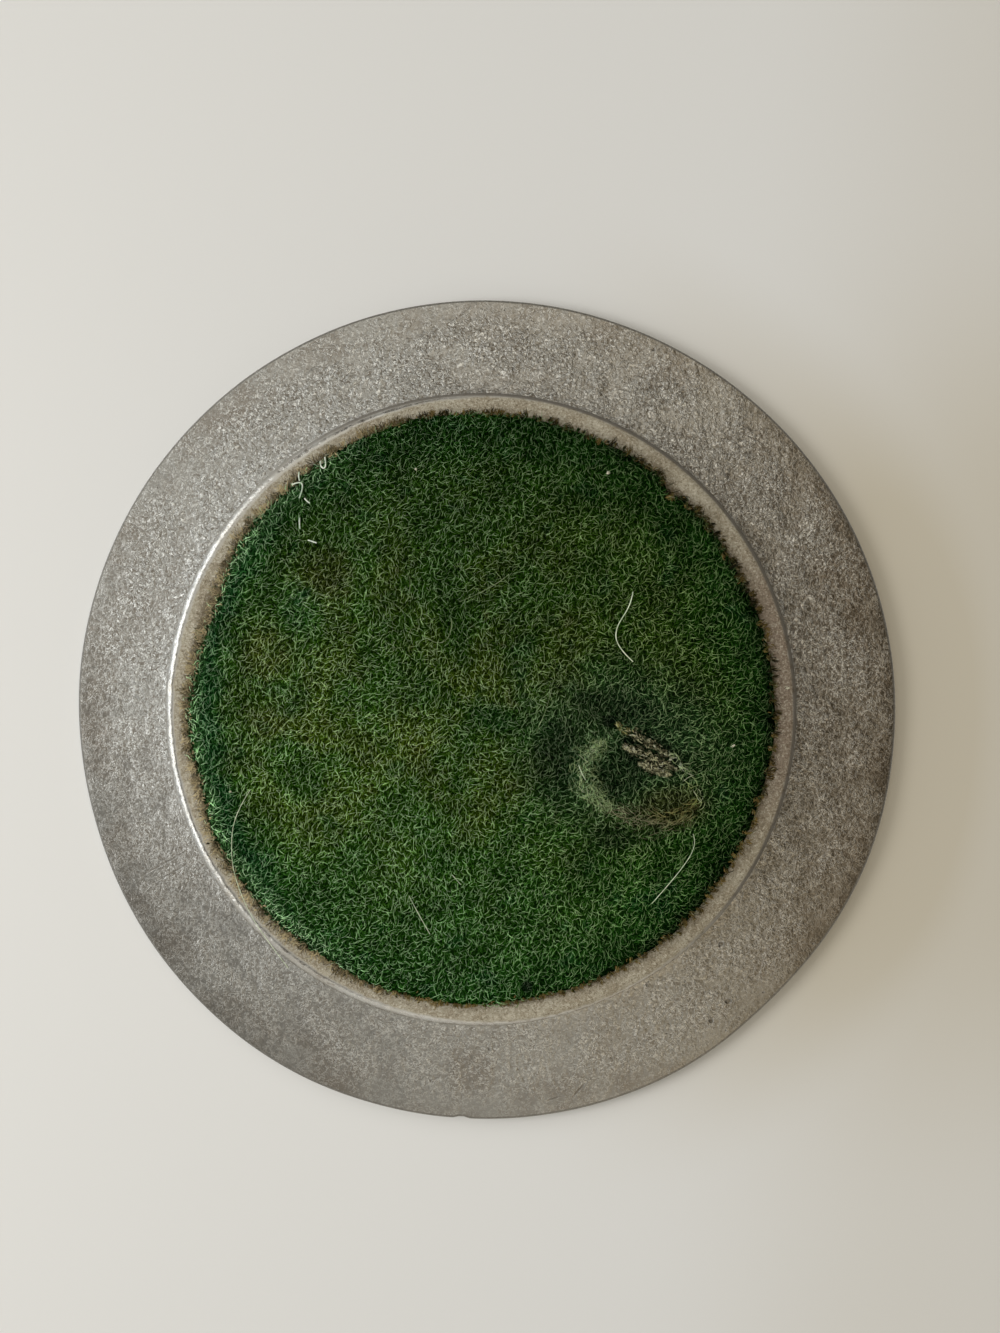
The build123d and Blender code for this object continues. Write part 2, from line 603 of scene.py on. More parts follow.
# %% Rubbed alloy
def rubbed_alloy():
    finish = new_finish("rubbed_alloy")
    out = finish.distance_from_axis()
    scuffs = finish.cloud(1.6 * MM, 3, 0.55)
    bared = finish.ramp(finish.axis("X"), 25 * MM, -45 * MM) * (1.6 * MM)
    ragged = out + bared + (scuffs - 0.5) * (1.2 * MM)
    smeared = finish.ramp(ragged, FOOT_RADIUS - 0.1 * MM, FOOT_RADIUS - 0.8 * MM)
    # Painted shade: a dark line round the foot's outer edge, on the side away from the window
    step_shade = finish.ramp(out, FOOT_RADIUS - 0.8 * MM, FOOT_RADIUS - 0.3 * MM)
    step_shade = step_shade * finish.ramp(finish.from_window(), -15 * MM, 25 * MM) * 0.8
    lint = glue_lint(finish)
    base = finish.coats(ALLOY_BRIGHT, [
        (finish.blots(6 * MM, 4, 0.6, 0.3, 0.65) * 0.4, ALLOY_DULL),
        (finish.ramp(scuffs, 0.42, 0.3) * 0.5, ALLOY_BROWN),
        (smeared, glue_tan(finish)),
        (step_shade, FOOT_STEP_SHADE),
    ])
    rubbed = 0.2 + finish.ramp(scuffs, 0.3, 0.7) * 0.14
    return surface(finish, {
        "Base Color": base,
        "Metallic": (1.0 - smeared) * (1.0 - step_shade),
        "Roughness": rubbed + smeared * (0.35 + lint * 0.3) + step_shade * 0.3,
        "Specular IOR Level": 0.25,
        "Normal": finish.bump(scuffs * (1.1 - smeared) + lint * smeared, GLUE_RELIEF),
    })


# %% Satin alloy
# Rings that wet bottles have left in the well, in mm: x, y and radius
BOTTLE_RINGS = [(6.0, -4.0, 37.0), (-9.0, 7.0, 35.0)]
BOTTLE_RING_WIDTH = 1.6
SATIN_RELIEF = 0.04 * MM


def bottle_rings(finish):
    """1 on each faint ring."""
    total = 0.0
    for x, y, radius in BOTTLE_RINGS:
        inside = radius - BOTTLE_RING_WIDTH
        outer = finish.spot(x * MM, y * MM, radius * MM, radius * MM, 0, 0.02)
        inner = finish.spot(x * MM, y * MM, inside * MM, inside * MM, 0, 0.02)
        total = outer - inner + total
    return total


def satin_alloy():
    finish = new_finish("satin_alloy")
    out = finish.distance_from_axis()
    ring = finish.node("ShaderNodeCombineXYZ", None, {"X": out, "Y": 0.0, "Z": 0.0})
    turning = finish.cloud(0.5 * MM, 3, 0.6, place=ring)
    scuffs = finish.cloud(3.0 * MM, 5, 0.65, twist=1.0)
    lines = (finish.cloud(7 * MM, 2, 0.5, twist=2.0) - 0.5).math("ABSOLUTE")
    scratches = finish.ramp(lines, 0.006, 0.002)
    corner = finish.ramp(out, FOOT_RADIUS - 9 * MM, FOOT_RADIUS - 4 * MM)
    corner = corner * finish.ramp(out, FOOT_RADIUS + 1 * MM, FOOT_RADIUS - 2 * MM)
    base = finish.coats(stained_alloy(finish, 0.45), [
        (finish.ramp(turning, 0.4, 0.65) * 0.4, ALLOY_BRIGHT),
        (corner * finish.ramp(scuffs, 0.35, 0.6) * 0.7, ALLOY_BROWN),
        (bottle_rings(finish) * finish.ramp(scuffs, 0.4, 0.6) * 0.5, ALLOY_BROWN),
        (scratches * 0.5, ALLOY_BRIGHT),
    ])
    return surface(finish, {
        "Base Color": base,
        "Metallic": 1.0,
        "Roughness": 0.25 + finish.ramp(scuffs, 0.3, 0.7) * 0.18,
        "Normal": finish.bump(turning + scuffs * 1.4 - scratches * 0.3, SATIN_RELIEF),
    })


# %% Filed alloy, and the dish
FILE_MARK = 0.5 * MM
FILED_RELIEF = 0.08 * MM


def filed_alloy():
    finish = new_finish("filed_alloy")
    file_marks = finish.cloud(FILE_MARK, 3, 0.6)
    return surface(finish, {
        # The file marks mix with a near-black, which is painted shade at the rim's edge
        "Base Color": finish.mix(file_marks, FILED_RIM_SHADE, ALLOY),
        "Metallic": 1.0,
        "Roughness": 0.5 + file_marks * 0.2,
        "Normal": finish.bump(file_marks, FILED_RELIEF),
    })


# In the order of SAND_CAST, RUBBED, SATIN and FILED
alloys = [sand_cast_alloy(), rubbed_alloy(), satin_alloy(), filed_alloy()]
new_piece("coaster_dish", casting, alloys, "cast_dish")

# %% [markdown]
# ## The glue
# The felt was stuck down with a brown contact glue, which dried to a tan film on the flat of
# the foot. It is a thin disc, mostly hidden. The ring that shows has a ragged, lumpy edge and
# holds lint, so its rings of vertices are lifted and shifted by noise.

# %% Spread the glue
GLUE_STEPS = 720
GLUE_MESHED_FROM = FELT_RADIUS - 4 * MM
GLUE_SHOWN_FROM = FELT_RADIUS - 2 * MM
GLUE_LUMP = 0.10 * MM
GLUE_LUMP_SIZE = 1.3 * MM
GLUE_RAG = 0.4 * MM
GLUE_RAG_SIZE = 0.9 * MM
GLUE_THINNED = 0.29 * MM


def glue_disc():
    bm = bmesh.new()
    ring = stretch((GLUE_MESHED_FROM, GLUE_BOTTOM), (GLUE_RADIUS, GLUE_BOTTOM), clear=0)
    spin_section(bm, [(0, GLUE_BOTTOM), *ring, (GLUE_RADIUS, FOOT_FACE), (0, FOOT_FACE)], GLUE_STEPS)
    for edge in ring_edges(bm, GLUE_RADIUS, GLUE_BOTTOM):
        edge.smooth = False
    for vert in bm.verts:
        if vert.co.xy.length > GLUE_SHOWN_FROM:
            roughen_glue(vert)
    return bm


def roughen_glue(vert):
    """Thins the film towards its edge, lifts it into lumps and makes the edge ragged."""
    radius = vert.co.xy.length
    shown = (radius - GLUE_SHOWN_FROM) / (GLUE_RADIUS - GLUE_SHOWN_FROM)
    place = Vector((vert.co.x, vert.co.y, 0))
    if vert.co.z < GLUE_BOTTOM + 1e-6:
        thinned = GLUE_THINNED * shown**2 * (3 - 2 * shown)
        vert.co.z += thinned + GLUE_LUMP * (1 - shown) * noise.noise(place / GLUE_LUMP_SIZE)
    vert.co.xy *= 1 + GLUE_RAG * shown * noise.noise(place / GLUE_RAG_SIZE) / radius


def dried_glue():
    finish = new_finish("dried_glue")
    lint = glue_lint(finish)
    return surface(finish, {
        "Base Color": glue_tan(finish),
        "Roughness": 0.6 + lint * 0.3,
        "Specular IOR Level": 0.25,
        "Normal": finish.bump(lint, GLUE_RELIEF),
    })


new_piece("glue_ring", glue_disc(), [dried_glue()], "glue_film")

# %% [markdown]
# ## The felt's cloth
# Felt is a mat of wool with no weave. Here it is a thin disc whose underside is lifted by
# noise and by the wear that the years left: a moth-eaten hollow with a matted curl beside it.
# The nap grows out of it in a later step, so the cloth stops short of the table by that much.

# %% Where the felt is worn
NAP_DEPTH = 0.75 * MM
FELT_STEPS = 480
FELT_LUMPS = 0.12 * MM
FELT_LOWEST = -0.1 * MM
FELT_THINNEST = 0.2 * MM
FELT_EDGE_OUT = 0.3 * MM
FELT_EDGE_RAG = 0.5 * MM
FELT_ROUNDING = 0.6 * MM
FELT_FIRST_RING = 1.2 * MM

# Where the felt's edge is torn away: angle in degrees, half width in radians and depth in mm
FELT_TEARS = [(-48, 0.03, 1.3), (199, 0.19, 2.0), (165, 0.12, 0.9)]

# Dents and humps of the worn patch in mm: x, y, half width, half length, turn in degrees, depth
WORN_RELIEF = [
    (18.0, 12.0, 3.6, 7.0, 0, 0.65),
    (29.5, 13.5, 3.4, 3.2, 0, 0.75),
    (35.0, 8.8, 7.5, 4.2, 27, 0.85),
    (23.4, 9.0, 2.0, 3.0, 25, -0.65),
    (22.4, 13.0, 2.0, 3.4, -10, -0.7),
    (24.2, 17.8, 2.2, 3.0, -45, -0.5),
    (42.8, 15.5, 2.0, 4.5, 20, -0.3),
]


def worn_depth(x, y):
    """How far the worn patch lies above the felt's face; humps are negative."""
    total = np.zeros_like(x)
    for middle_x, middle_y, across, along, turn, depth in WORN_RELIEF:
        cos, sin = math.cos(math.radians(turn)), math.sin(math.radians(turn))
        dx, dy = x - middle_x * MM, y - middle_y * MM
        u = (dx * cos + dy * sin) / (across * MM)
        v = (dy * cos - dx * sin) / (along * MM)
        total = total + depth * MM * np.exp(-(u * u + v * v))
    return total


# %% Cut the felt
def felt_face(x, y):
    """The level of the cloth's underside: slow lumps of matted wool, and the worn patch."""
    waves = np.sin(x / (2.9 * MM) + 1.7 * np.sin(y / (4.1 * MM))) * np.cos(y / (3.3 * MM) + x / (7.0 * MM))
    level = NAP_DEPTH + worn_depth(x, y) + FELT_LUMPS * waves
    return np.clip(level, FELT_LOWEST, FELT_TOP - FELT_THINNEST)


def felt_edge(angle):
    """The radius of the hand-cut edge at an angle in radians."""
    wander = 0.45 * np.sin(3 * angle + 0.6) + 0.3 * np.sin(7 * angle + 2.0) + 0.25 * np.sin(17 * angle)
    radius = FELT_RADIUS + FELT_EDGE_OUT + FELT_EDGE_RAG * wander
    for middle, width, depth in FELT_TEARS:
        away = (angle - math.radians(middle) + np.pi) % (2 * np.pi) - np.pi
        radius = radius - depth * MM * np.exp(-((away / width) ** 2))
    return radius


def felt_disc():
    """A disc one high with the felt's rings, then bent to its edge and its face all at once."""
    bm = bmesh.new()
    lower = [(0, 0), *stretch((FELT_FIRST_RING, 0), (FELT_RADIUS - FELT_ROUNDING, 0), clear=0)]
    side = [(FELT_RADIUS, 0.3), (FELT_RADIUS, 1)]
    upper = [(FELT_RADIUS * 0.9, 1), (0, 1)]
    spin_section(bm, lower + side + upper, FELT_STEPS)
    places = np.array([vert.co for vert in bm.verts])
    x, y, share_up = places.T
    grown = felt_edge(np.arctan2(y, x)) / FELT_RADIUS
    face = felt_face(x, y)
    level = face + (FELT_TOP - face) * share_up
    for vert, place in zip(bm.verts, np.stack([x * grown, y * grown, level], axis=1)):
        vert.co = place
    return bm


print(f"felt edge at {felt_edge(0.0) / MM:.1f} mm on the right, {felt_edge(math.pi) / MM:.1f} mm on the left")

# %% [markdown]
# ## The colours of the wool
# The dye has faded unevenly: olive in the middle, where light reached it, deep green towards the
# edge, greyer round the worn patch and nearly bare inside it. Light and shade are painted in too:
# the edge that faces the window is lit, the right edge is soaked and shaded, the wool is darker away
# from the window, and the worn patch has painted shadows. One function gives that colour at any
# place, and both the cloth and its nap use it.

# %% Dye the wool, and paint its light and shade
DYE_GREEN = colour(0.068, 0.205, 0.020)
DYE_OLIVE = colour(0.140, 0.240, 0.022)
DYE_BROWN = colour(0.150, 0.140, 0.036)
DYE_DEEP = colour(0.034, 0.150, 0.019)
DYE_FRESH = colour(0.040, 0.190, 0.024)
DYE_TEAL = colour(0.022, 0.150, 0.046)
# Painted light on the felt's edge that faces the window
LIT_EDGE_GREEN = colour(0.130, 0.340, 0.110)
# Near-black at the right edge: soaked with glue, and painted shade
SOAKED_AND_SHADED_GREEN = colour(0.008, 0.019, 0.005)
DYE_GREY = colour(0.092, 0.225, 0.084)
# Painted shade in the worn patch, its hollows and a pit
SHADE_GREEN = colour(0.020, 0.046, 0.020)

# Places in mm where the dye has changed, or where shade is painted: x, y, half width, half length, turn in
# degrees
BROWN_PATCHES = [(-42.8, -11.6, 6, 4.5, 0), (-43.6, 2.7, 5, 4, 0), (-30.1, -27.4, 6, 5, 30)]
TEAL_PATCHES = [
    (-36.5, -21.0, 4, 5, 20),
    (-38.1, -2.2, 4.5, 4, 0),
    (3.0, 1.5, 5, 2.6, 25),
    (9.0, -10, 3, 5, 20),
]
WORN_GREY = [(30, 8, 20, 16, 10)]
# Painted shadows beside the curl and the cords
WORN_SHADOWS = [
    (16.5, 10.5, 4.5, 9, 0),
    (29, 0, 8, 4, 12),
    (29.5, 13.5, 4.6, 4.6, 0),
    (28, 26, 5, 2.5, 10),
]
NEST_BROWN = [(39.5, 19.8, 7, 4.2, -8)]
# Painted shade in the bare hollow between the cords, and in a pit of the felt
SHADED_HOLLOWS = [(35.5, 9, 6.8, 4, 27), (27.6, 2.6, 1.8, 1.2, 20), (10.5, 56.2, 1.2, 1.2, 0)]


def wool_colour(finish):
    """The dyed wool at any place on the underside, with its painted light and shade."""
    across, down = finish.axis("X"), finish.axis("Y")
    out = finish.distance_from_axis()
    patches = finish.cloud(14 * MM, 4, 0.6)
    flecks = finish.cloud(5 * MM, 3, 0.6)
    wander = (flecks - 0.5) * (12 * MM)
    faded = finish.spot(-10 * MM, 1 * MM, 46 * MM, 36 * MM, 0, 0.9)
    brown = finish.ramp(flecks, 0.58, 0.74) * faded * 0.6 + marks(finish, BROWN_PATCHES, 0.9) * patches * 0.8
    teal = finish.blots(7 * MM, 3, 0.6, 0.54, 0.7) * 0.5 + marks(finish, TEAL_PATCHES, 0.9) * flecks * 0.7
    left_edge = finish.ramp(out + wander * 0.7, 51 * MM, 56 * MM) * finish.ramp(across, -34 * MM, -50 * MM)
    lit_edge = finish.ramp(out + wander * 0.3, 55.5 * MM, 58.5 * MM) * finish.ramp(across, -15 * MM, -42 * MM)
    soaked = finish.ramp(out + wander * 0.35, 57.0 * MM, 60.2 * MM) * finish.ramp(across, 8 * MM, 34 * MM)
    tint = finish.coats(DYE_GREEN, [
        (finish.ramp(patches, 0.40, 0.62) * (0.25 + 0.75 * faded), DYE_OLIVE),
        (brown, DYE_BROWN),
        (finish.ramp(down, 16 * MM, 38 * MM) * 0.55, DYE_FRESH),
        (finish.ramp(out + wander, 44 * MM, 58 * MM) * 0.9, DYE_DEEP),
        (teal + left_edge * 0.65, DYE_TEAL),
        (lit_edge * 0.95, LIT_EDGE_GREEN),
        (soaked * 0.8, SOAKED_AND_SHADED_GREEN),
        (marks(finish, WORN_GREY, 0.9) * 0.75, DYE_GREY),
        (marks(finish, WORN_SHADOWS, 0.9) * 0.58, SHADE_GREEN),
        (marks(finish, NEST_BROWN, 0.9) * 0.6, DYE_BROWN),
        (marks(finish, SHADED_HOLLOWS, 0.6) * 0.9, SHADE_GREEN),
    ])
    # Painted light: lighter towards the window and darker away from it
    tint = finish.dim(tint, finish.ramp(finish.from_window(), 36 * MM, -42 * MM, 0.69, 1.2))
    return finish.dim(tint, finish.blots(9 * MM, 4, 0.65, 0.32, 0.68, 0.72, 1.28))


# %% Dress the cloth
CLOTH_MAT = 0.6 * MM
CLOTH_RELIEF = 0.3 * MM


def wool_cloth():
    """The cloth between the fibres, painted dark for the deep shade it lies in."""
    finish = new_finish("wool_cloth")
    mat = finish.cloud(CLOTH_MAT, 5, 0.75, twist=2.5)
    return surface(finish, {
        "Base Color": finish.dim(wool_colour(finish), 0.04 + finish.ramp(mat, 0.4, 0.75) * 0.3),
        "Roughness": 0.95,
        "Specular IOR Level": 0.0,
        "Normal": finish.bump(mat, CLOTH_RELIEF),
    })


felt = new_piece("felt_cloth", felt_disc(), [wool_cloth()], "felt_pad")

# %% [markdown]
# ## One fibre, many copies
# Wool nap can be a hair system, but hair has no mesh to hand on. So we model one fibre, a
# three-sided spindle with a pointed end each way, and lay thousands of copies of it. Each copy
# is bent along its own curve: it leaves the cloth, arches over and dives in again.

# %% Model a fibre
FIBRE_SIDES = 3
FIBRE_END_WIDTH = 0.55
UV_FILL = 0.96


def fibre_master(joints):
    """A spindle along X, one long and one thick, as corners and faces."""
    bm = bmesh.new()
    lying = Matrix.Rotation(math.radians(90), 4, "Y")
    tube = {"segments": FIBRE_SIDES, "radius1": 0.5, "radius2": 0.5, "depth": 1, "cap_ends": False}
    bmesh.ops.create_cone(bm, matrix=lying, **tube)
    bmesh.ops.translate(bm, verts=bm.verts, vec=(0.5, 0, 0))
    along = [edge for edge in bm.edges if abs(edge.verts[0].co.x - edge.verts[1].co.x) > 0.5]
    bmesh.ops.subdivide_edges(bm, edges=along, cuts=joints)
    for end in (0, 1):
        tip = [vert for vert in bm.verts if abs(vert.co.x - end) < 1e-4]
        bmesh.ops.pointmerge(bm, verts=tip, merge_co=(end, 0, 0))
    bmesh.ops.recalc_face_normals(bm, faces=bm.faces)
    bm.verts.index_update()
    corners = np.array([vert.co for vert in bm.verts])
    faces = [[vert.index for vert in face.verts] for face in bm.faces]
    bm.free()
    return corners, faces


# %% Lay the copies
def lay_fibres(name, strands, material, joints=3):
    """One piece of many fibres. Strands are columns: x, y and z of the roots, heading, length, bend,
    wave, rise, width and tone. A fibre's joints follow one another, each turned a little more."""
    corners, faces = fibre_master(joints)
    steps = joints + 1
    root_x, root_y, root_z, heading, length, bend, wave, rise, width, tone = np.array(strands)[:, :, None]

    def turned(share):
        return heading + bend * (share - 0.5) + wave * np.sin(2 * np.pi * share)

    ways = turned((np.arange(steps) + 0.5) / steps)
    start = np.zeros_like(length)
    run_x = np.hstack([start, np.cumsum(length / steps * np.cos(ways), axis=1)])
    run_y = np.hstack([start, np.cumsum(length / steps * np.sin(ways), axis=1)])

    along, across, over = corners.T[:, None, :]
    joint = np.rint(along[0] * steps).astype(int)
    thick = width * (FIBRE_END_WIDTH + (1 - FIBRE_END_WIDTH) * np.sin(np.pi * along))
    x = root_x + run_x[:, joint] - across * thick * np.sin(turned(along))
    y = root_y + run_y[:, joint] + across * thick * np.cos(turned(along))
    z = root_z - rise * np.sin(np.pi * along**0.8) + over * thick
    places = np.stack([x, y, z], axis=2).reshape(-1, 3)
    return copies_piece(name, places, faces, len(corners), np.broadcast_to(tone, x.shape), material)


def copies_piece(name, places, faces, corner_count, tone, material):
    """A mesh of copies that share their faces, with a tone for each and a flat map seen from below."""
    count = len(places) // corner_count
    loops = (np.concatenate(faces) + corner_count * np.arange(count)[:, None]).ravel()
    sizes = np.tile([len(face) for face in faces], count)
    mesh = bpy.data.meshes.new(name)
    mesh.vertices.add(len(places))
    mesh.vertices.foreach_set("co", places.astype(np.float32).ravel())
    mesh.loops.add(len(loops))
    mesh.loops.foreach_set("vertex_index", loops.astype(np.int32))
    mesh.polygons.add(len(sizes))
    mesh.polygons.foreach_set("loop_start", np.concatenate([[0], np.cumsum(sizes)[:-1]]).astype(np.int32))
    mesh.update(calc_edges=True)
    mesh.validate()
    mesh.shade_smooth()
    mesh.attributes.new("tone", "FLOAT", "POINT").data.foreach_set("value", tone.astype(np.float32).ravel())
    flat = places[loops][:, :2] / (2 * GLUE_RADIUS) * UV_FILL + 0.5
    mesh.uv_layers.new(name="OFBake").uv.foreach_set("vector", flat.astype(np.float32).ravel())
    return dress(name, mesh, [material])


# %% [markdown]
# ## The nap
# The wool lies like grass that a hand has brushed: most fibres lean up and to the right in the
# picture, and neighbours lean alike. Low fibres are painted dark, which is painted shade deep in
# the pile, and high ones pale, partly frosted wool and partly painted highlight. Seeds on a
# sunflower are spaced evenly, so the roots follow them.

# %% Comb the nap
BRUSHED = math.radians(-58)
SUNFLOWER_TURN = math.pi * (3 - math.sqrt(5))
NAP_RADIUS = FELT_RADIUS + 0.6 * MM
ROOT_JITTER = 0.3 * MM


def polar(radius, angle):
    """The x and y of places round the axis."""
    return radius * np.cos(angle), radius * np.sin(angle)


def root_of(x, y, heading, length):
    """Where fibres start that have their middles at these places."""
    return x - length / 2 * np.cos(heading), y - length / 2 * np.sin(heading)


def nap_strands(seed, count, length, rise, width, tone, spread):
    """Strands for one layer of nap. Length, rise and width are (least, most) in mm."""
    rng = np.random.default_rng(seed)
    order = np.arange(count)
    radius = NAP_RADIUS * np.sqrt((order + 0.5) / count)
    angle = order * SUNFLOWER_TURN + seed
    x, y = polar(radius, angle)
    x = x + rng.normal(0, ROOT_JITTER, count)
    y = y + rng.normal(0, ROOT_JITTER, count)

    def within(limits):
        return rng.uniform(*limits, count) * MM

    swirl = np.sin(x / (6 * MM) + 1.4 * np.sin(y / (5 * MM))) + np.sin(y / (8 * MM) - x / (11 * MM))
    heading = BRUSHED + 0.35 * swirl + rng.normal(0, spread, count)
    bend, wave = rng.normal(0, 1.2, count), rng.normal(0, 0.4, count)
    lengths = within(length)
    root_x, root_y = root_of(x, y, heading, lengths)
    tones = tone[0] + (tone[1] - tone[0]) * rng.beta(1.4, 1.9, count)
    columns = [root_x, root_y, felt_face(x, y), heading, lengths, bend, wave]
    columns += [within(rise), within(width), tones]
    turn = np.arctan2(root_y, root_x)
    worn_off = np.clip(-np.cos(turn) * 1.8, 0, 1) * rng.uniform(0.0, 0.8, count)
    inside = np.hypot(root_x, root_y) < felt_edge(turn) - (0.1 + worn_off) * MM
    return np.array(columns)[:, inside]


# %% Colour the nap
# The frost of the tips is partly painted highlight; it is less blue on the dim side, as painted light
FROST = colour(0.63, 0.70, 0.58)
FROST_DIM_SIDE = colour(0.62, 0.68, 0.42)


def nap_wool():
    """Dyed wool, dark where its tone is low and frosted where it is high: painted shade low in the nap, and
    tips partly frosted and partly painted highlight.
    """
    finish = new_finish("nap_wool")
    tone = finish.tone()
    wool = wool_colour(finish)
    strength = finish.node("ShaderNodeSeparateColor", None, {0: wool}, out="Green") * 6.0
    frost = finish.mix(finish.ramp(finish.axis("X"), -10 * MM, 45 * MM), FROST, FROST_DIM_SIDE)
    frosted = finish.mix(0.75, finish.dim(wool, 2.2), finish.dim(frost, strength))
    lit = finish.dim(wool, 0.08 + 2.85 * tone)
    pale = finish.mix(finish.ramp(tone, 0.4, 1.6) * 0.78, lit, frosted)
    return surface(finish, {"Base Color": pale, "Roughness": 0.9, "Specular IOR Level": 0.0})


NAP = nap_wool()

# Each layer with the joints of its fibres and what its strands are like
# Tones rise from roots to tips: painted shade low in the nap, painted highlight on the tips
NAP_LAYERS = {
    "nap_roots": (2, {"seed": 11, "count": 9000, "length": (1.4, 3.0), "rise": (0.05, 0.3),
                      "width": (0.14, 0.22), "tone": (0.0, 0.10), "spread": 1.3}),
    "nap_lower": (2, {"seed": 12, "count": 14000, "length": (1.2, 2.6), "rise": (0.2, 0.5),
                      "width": (0.09, 0.14), "tone": (0.03, 0.36), "spread": 1.2}),
    "nap_middle": (1, {"seed": 13, "count": 30000, "length": (0.7, 1.6), "rise": (0.35, 0.65),
                       "width": (0.07, 0.10), "tone": (0.05, 0.48), "spread": 1.2}),
    "nap_upper": (1, {"seed": 14, "count": 32000, "length": (0.6, 1.5), "rise": (0.5, 0.8),
                      "width": (0.055, 0.085), "tone": (0.05, 1.0), "spread": 1.1}),
    "nap_crown": (2, {"seed": 16, "count": 16000, "length": (0.8, 2.0), "rise": (0.6, 0.9),
                      "width": (0.055, 0.085), "tone": (0.2, 1.9), "spread": 0.9}),
    "nap_tips": (3, {"seed": 15, "count": 10500, "length": (1.0, 2.8), "rise": (0.7, 1.05),
                     "width": (0.055, 0.09), "tone": (0.9, 3.8), "spread": 0.8}),
}
for name, (joints, layer) in NAP_LAYERS.items():
    lay_fibres(name, nap_strands(**layer), NAP, joints=joints)

# %% [markdown]
# ## The frayed edge
# Where the felt was cut, its edge has come apart into tufts. On the left they are tan and dusty,
# with short crumbs of wool and glue among them. On the right they are soaked with glue: dark tufts
# that point outwards, a few with mustard tips. They are the same fibres, laid from places near the
# edge.

# %% Fray the edge
TUFTS = 450
FIBRES_IN_TUFT = 18

# Where tufts are torn out long or trimmed short: angle in degrees and half width in radians
TORN = (318, 0.35)
TRIMMED = (95, 0.6)


def near_turn(angle, middle, half_width):
    """1 where an angle in radians meets a middle in degrees, fading on both sides of it."""
    return np.exp(-(((angle - math.radians(middle)) / half_width) ** 2))


def fringe_strands(seed):
    """Tufts round the edge. Soaked is 1 on the right, and dusty is 1 on the left."""
    rng = np.random.default_rng(seed)
    total = TUFTS * FIBRES_IN_TUFT
    angle = (np.arange(TUFTS) + rng.uniform(-0.9, 0.9, TUFTS)) * (2 * math.pi / TUFTS)
    soaked = np.clip(np.cos(angle) * 1.6 + 0.1, 0, 1)
    dusty = np.clip(-np.cos(angle) * 1.8 + 0.1, 0, 1)
    torn = near_turn(angle, *TORN)
    lean = rng.normal(0, 1, TUFTS) * 0.6 + 0.9 * torn
    trimmed = near_turn(angle, *TRIMMED)
    bunches = np.sin(61 * angle + 2 * np.sin(23 * angle)) * np.sin(17 * angle + 1)
    reach = rng.uniform(0.7, 1.4, TUFTS) * (1 + (0.45 + 0.3 * torn) * bunches + 0.7 * torn - 0.4 * trimmed)
    browned = 0.5 + 0.5 * np.sin(43 * angle + 3 * np.sin(11 * angle))

    def each(values, jitter):
        return np.repeat(values, FIBRES_IN_TUFT) + jitter * rng.normal(0, 1, total)

    soaked, dusty = each(soaked, 0), each(dusty, 0)
    angle, lean = each(angle, 0.003 + 0.002 * dusty), each(lean, 0.2 + 0.3 * dusty)
    length = np.clip(each(reach, 0.2), 0.5, 2.6) * (1 - 0.25 * soaked + 0.35 * dusty) * MM
    within = rng.uniform(-0.2, 0.5, total) + each(rng.uniform(-0.5, 0.8, TUFTS), 0.2) * soaked
    within = within * (1 - dusty) + rng.uniform(-0.5, 0.9, total) * dusty
    radius = felt_edge(angle) - (within - 0.1 * soaked) * MM
    deep = np.clip(1.0 - within, 0, 1.7) * 0.7
    level = (rng.uniform(0.1, 0.6, total) + deep * (1 - 0.5 * soaked) - 0.45 * dusty) * MM
    bend, wave = rng.normal(0, 1, total) * (0.9 + 0.6 * dusty), rng.normal(0, 0.4, total)
    rise = rng.uniform(-0.2, 0.25, total) * MM
    width = rng.uniform(0.10, 0.18, total) * MM
    tone = each(rng.beta(0.6, 0.8, TUFTS) * (0.45 + 0.55 * browned), 0.2)
    flecks = rng.uniform(0, 1, total) < 0.05
    tone = np.clip(tone + 0.3 * dusty, 0, 1) + flecks
    return [*polar(radius, angle), level, angle + lean, length, bend, wave, rise, width, tone]


# %% Colour the edge
SOAKED_DARK, SOAKED_TIP = colour(0.009, 0.010, 0.004), colour(0.27, 0.19, 0.06)
TAN_DARK, TAN_TIP = colour(0.018, 0.014, 0.006), colour(0.56, 0.46, 0.27)
PALE_FLECK = colour(0.44, 0.44, 0.30)


def fringe_wool():
    finish = new_finish("fringe_wool")
    tone = finish.tone()
    dusty = finish.ramp(finish.axis("X"), 0.0, -40 * MM)
    browned = finish.ramp(finish.axis("Y"), -10 * MM, 35 * MM) * 0.3
    base = finish.coats(finish.mix((tone + browned) ** 1.4, SOAKED_DARK, SOAKED_TIP), [
        (dusty, finish.mix(tone ** 1.3, TAN_DARK, TAN_TIP)),
        (finish.ramp(tone, 1.0, 1.4) * 0.8, PALE_FLECK),
    ])
    return surface(finish, {"Base Color": base, "Roughness": 0.8, "Specular IOR Level": 0.1})


# %% Strew the crumbs
CRUMBS = 600


def crumb_strands(seed):
    """Short stout bits of dusty wool and glue, on the left."""
    rng = np.random.default_rng(seed)
    angle = math.pi + rng.normal(0, 0.55, CRUMBS)
    within = rng.uniform(-1.0, 1.3, CRUMBS)
    radius = felt_edge(angle) - within * MM
    level = (rng.uniform(-0.3, 0.3, CRUMBS) + np.clip(1.0 - within, 0, 1.7) * 0.75) * MM
    heading = rng.uniform(0, 2 * math.pi, CRUMBS)
    length = rng.uniform(0.5, 1.1, CRUMBS) * MM
    bend, wave = rng.normal(0, 1.5, CRUMBS), rng.normal(0, 0.3, CRUMBS)
    rise = rng.uniform(0, 0.2, CRUMBS) * MM
    width = rng.uniform(0.24, 0.46, CRUMBS) * MM
    tone = rng.beta(0.6, 0.6, CRUMBS)
    return [*polar(radius, angle), level, heading, length, bend, wave, rise, width, tone]


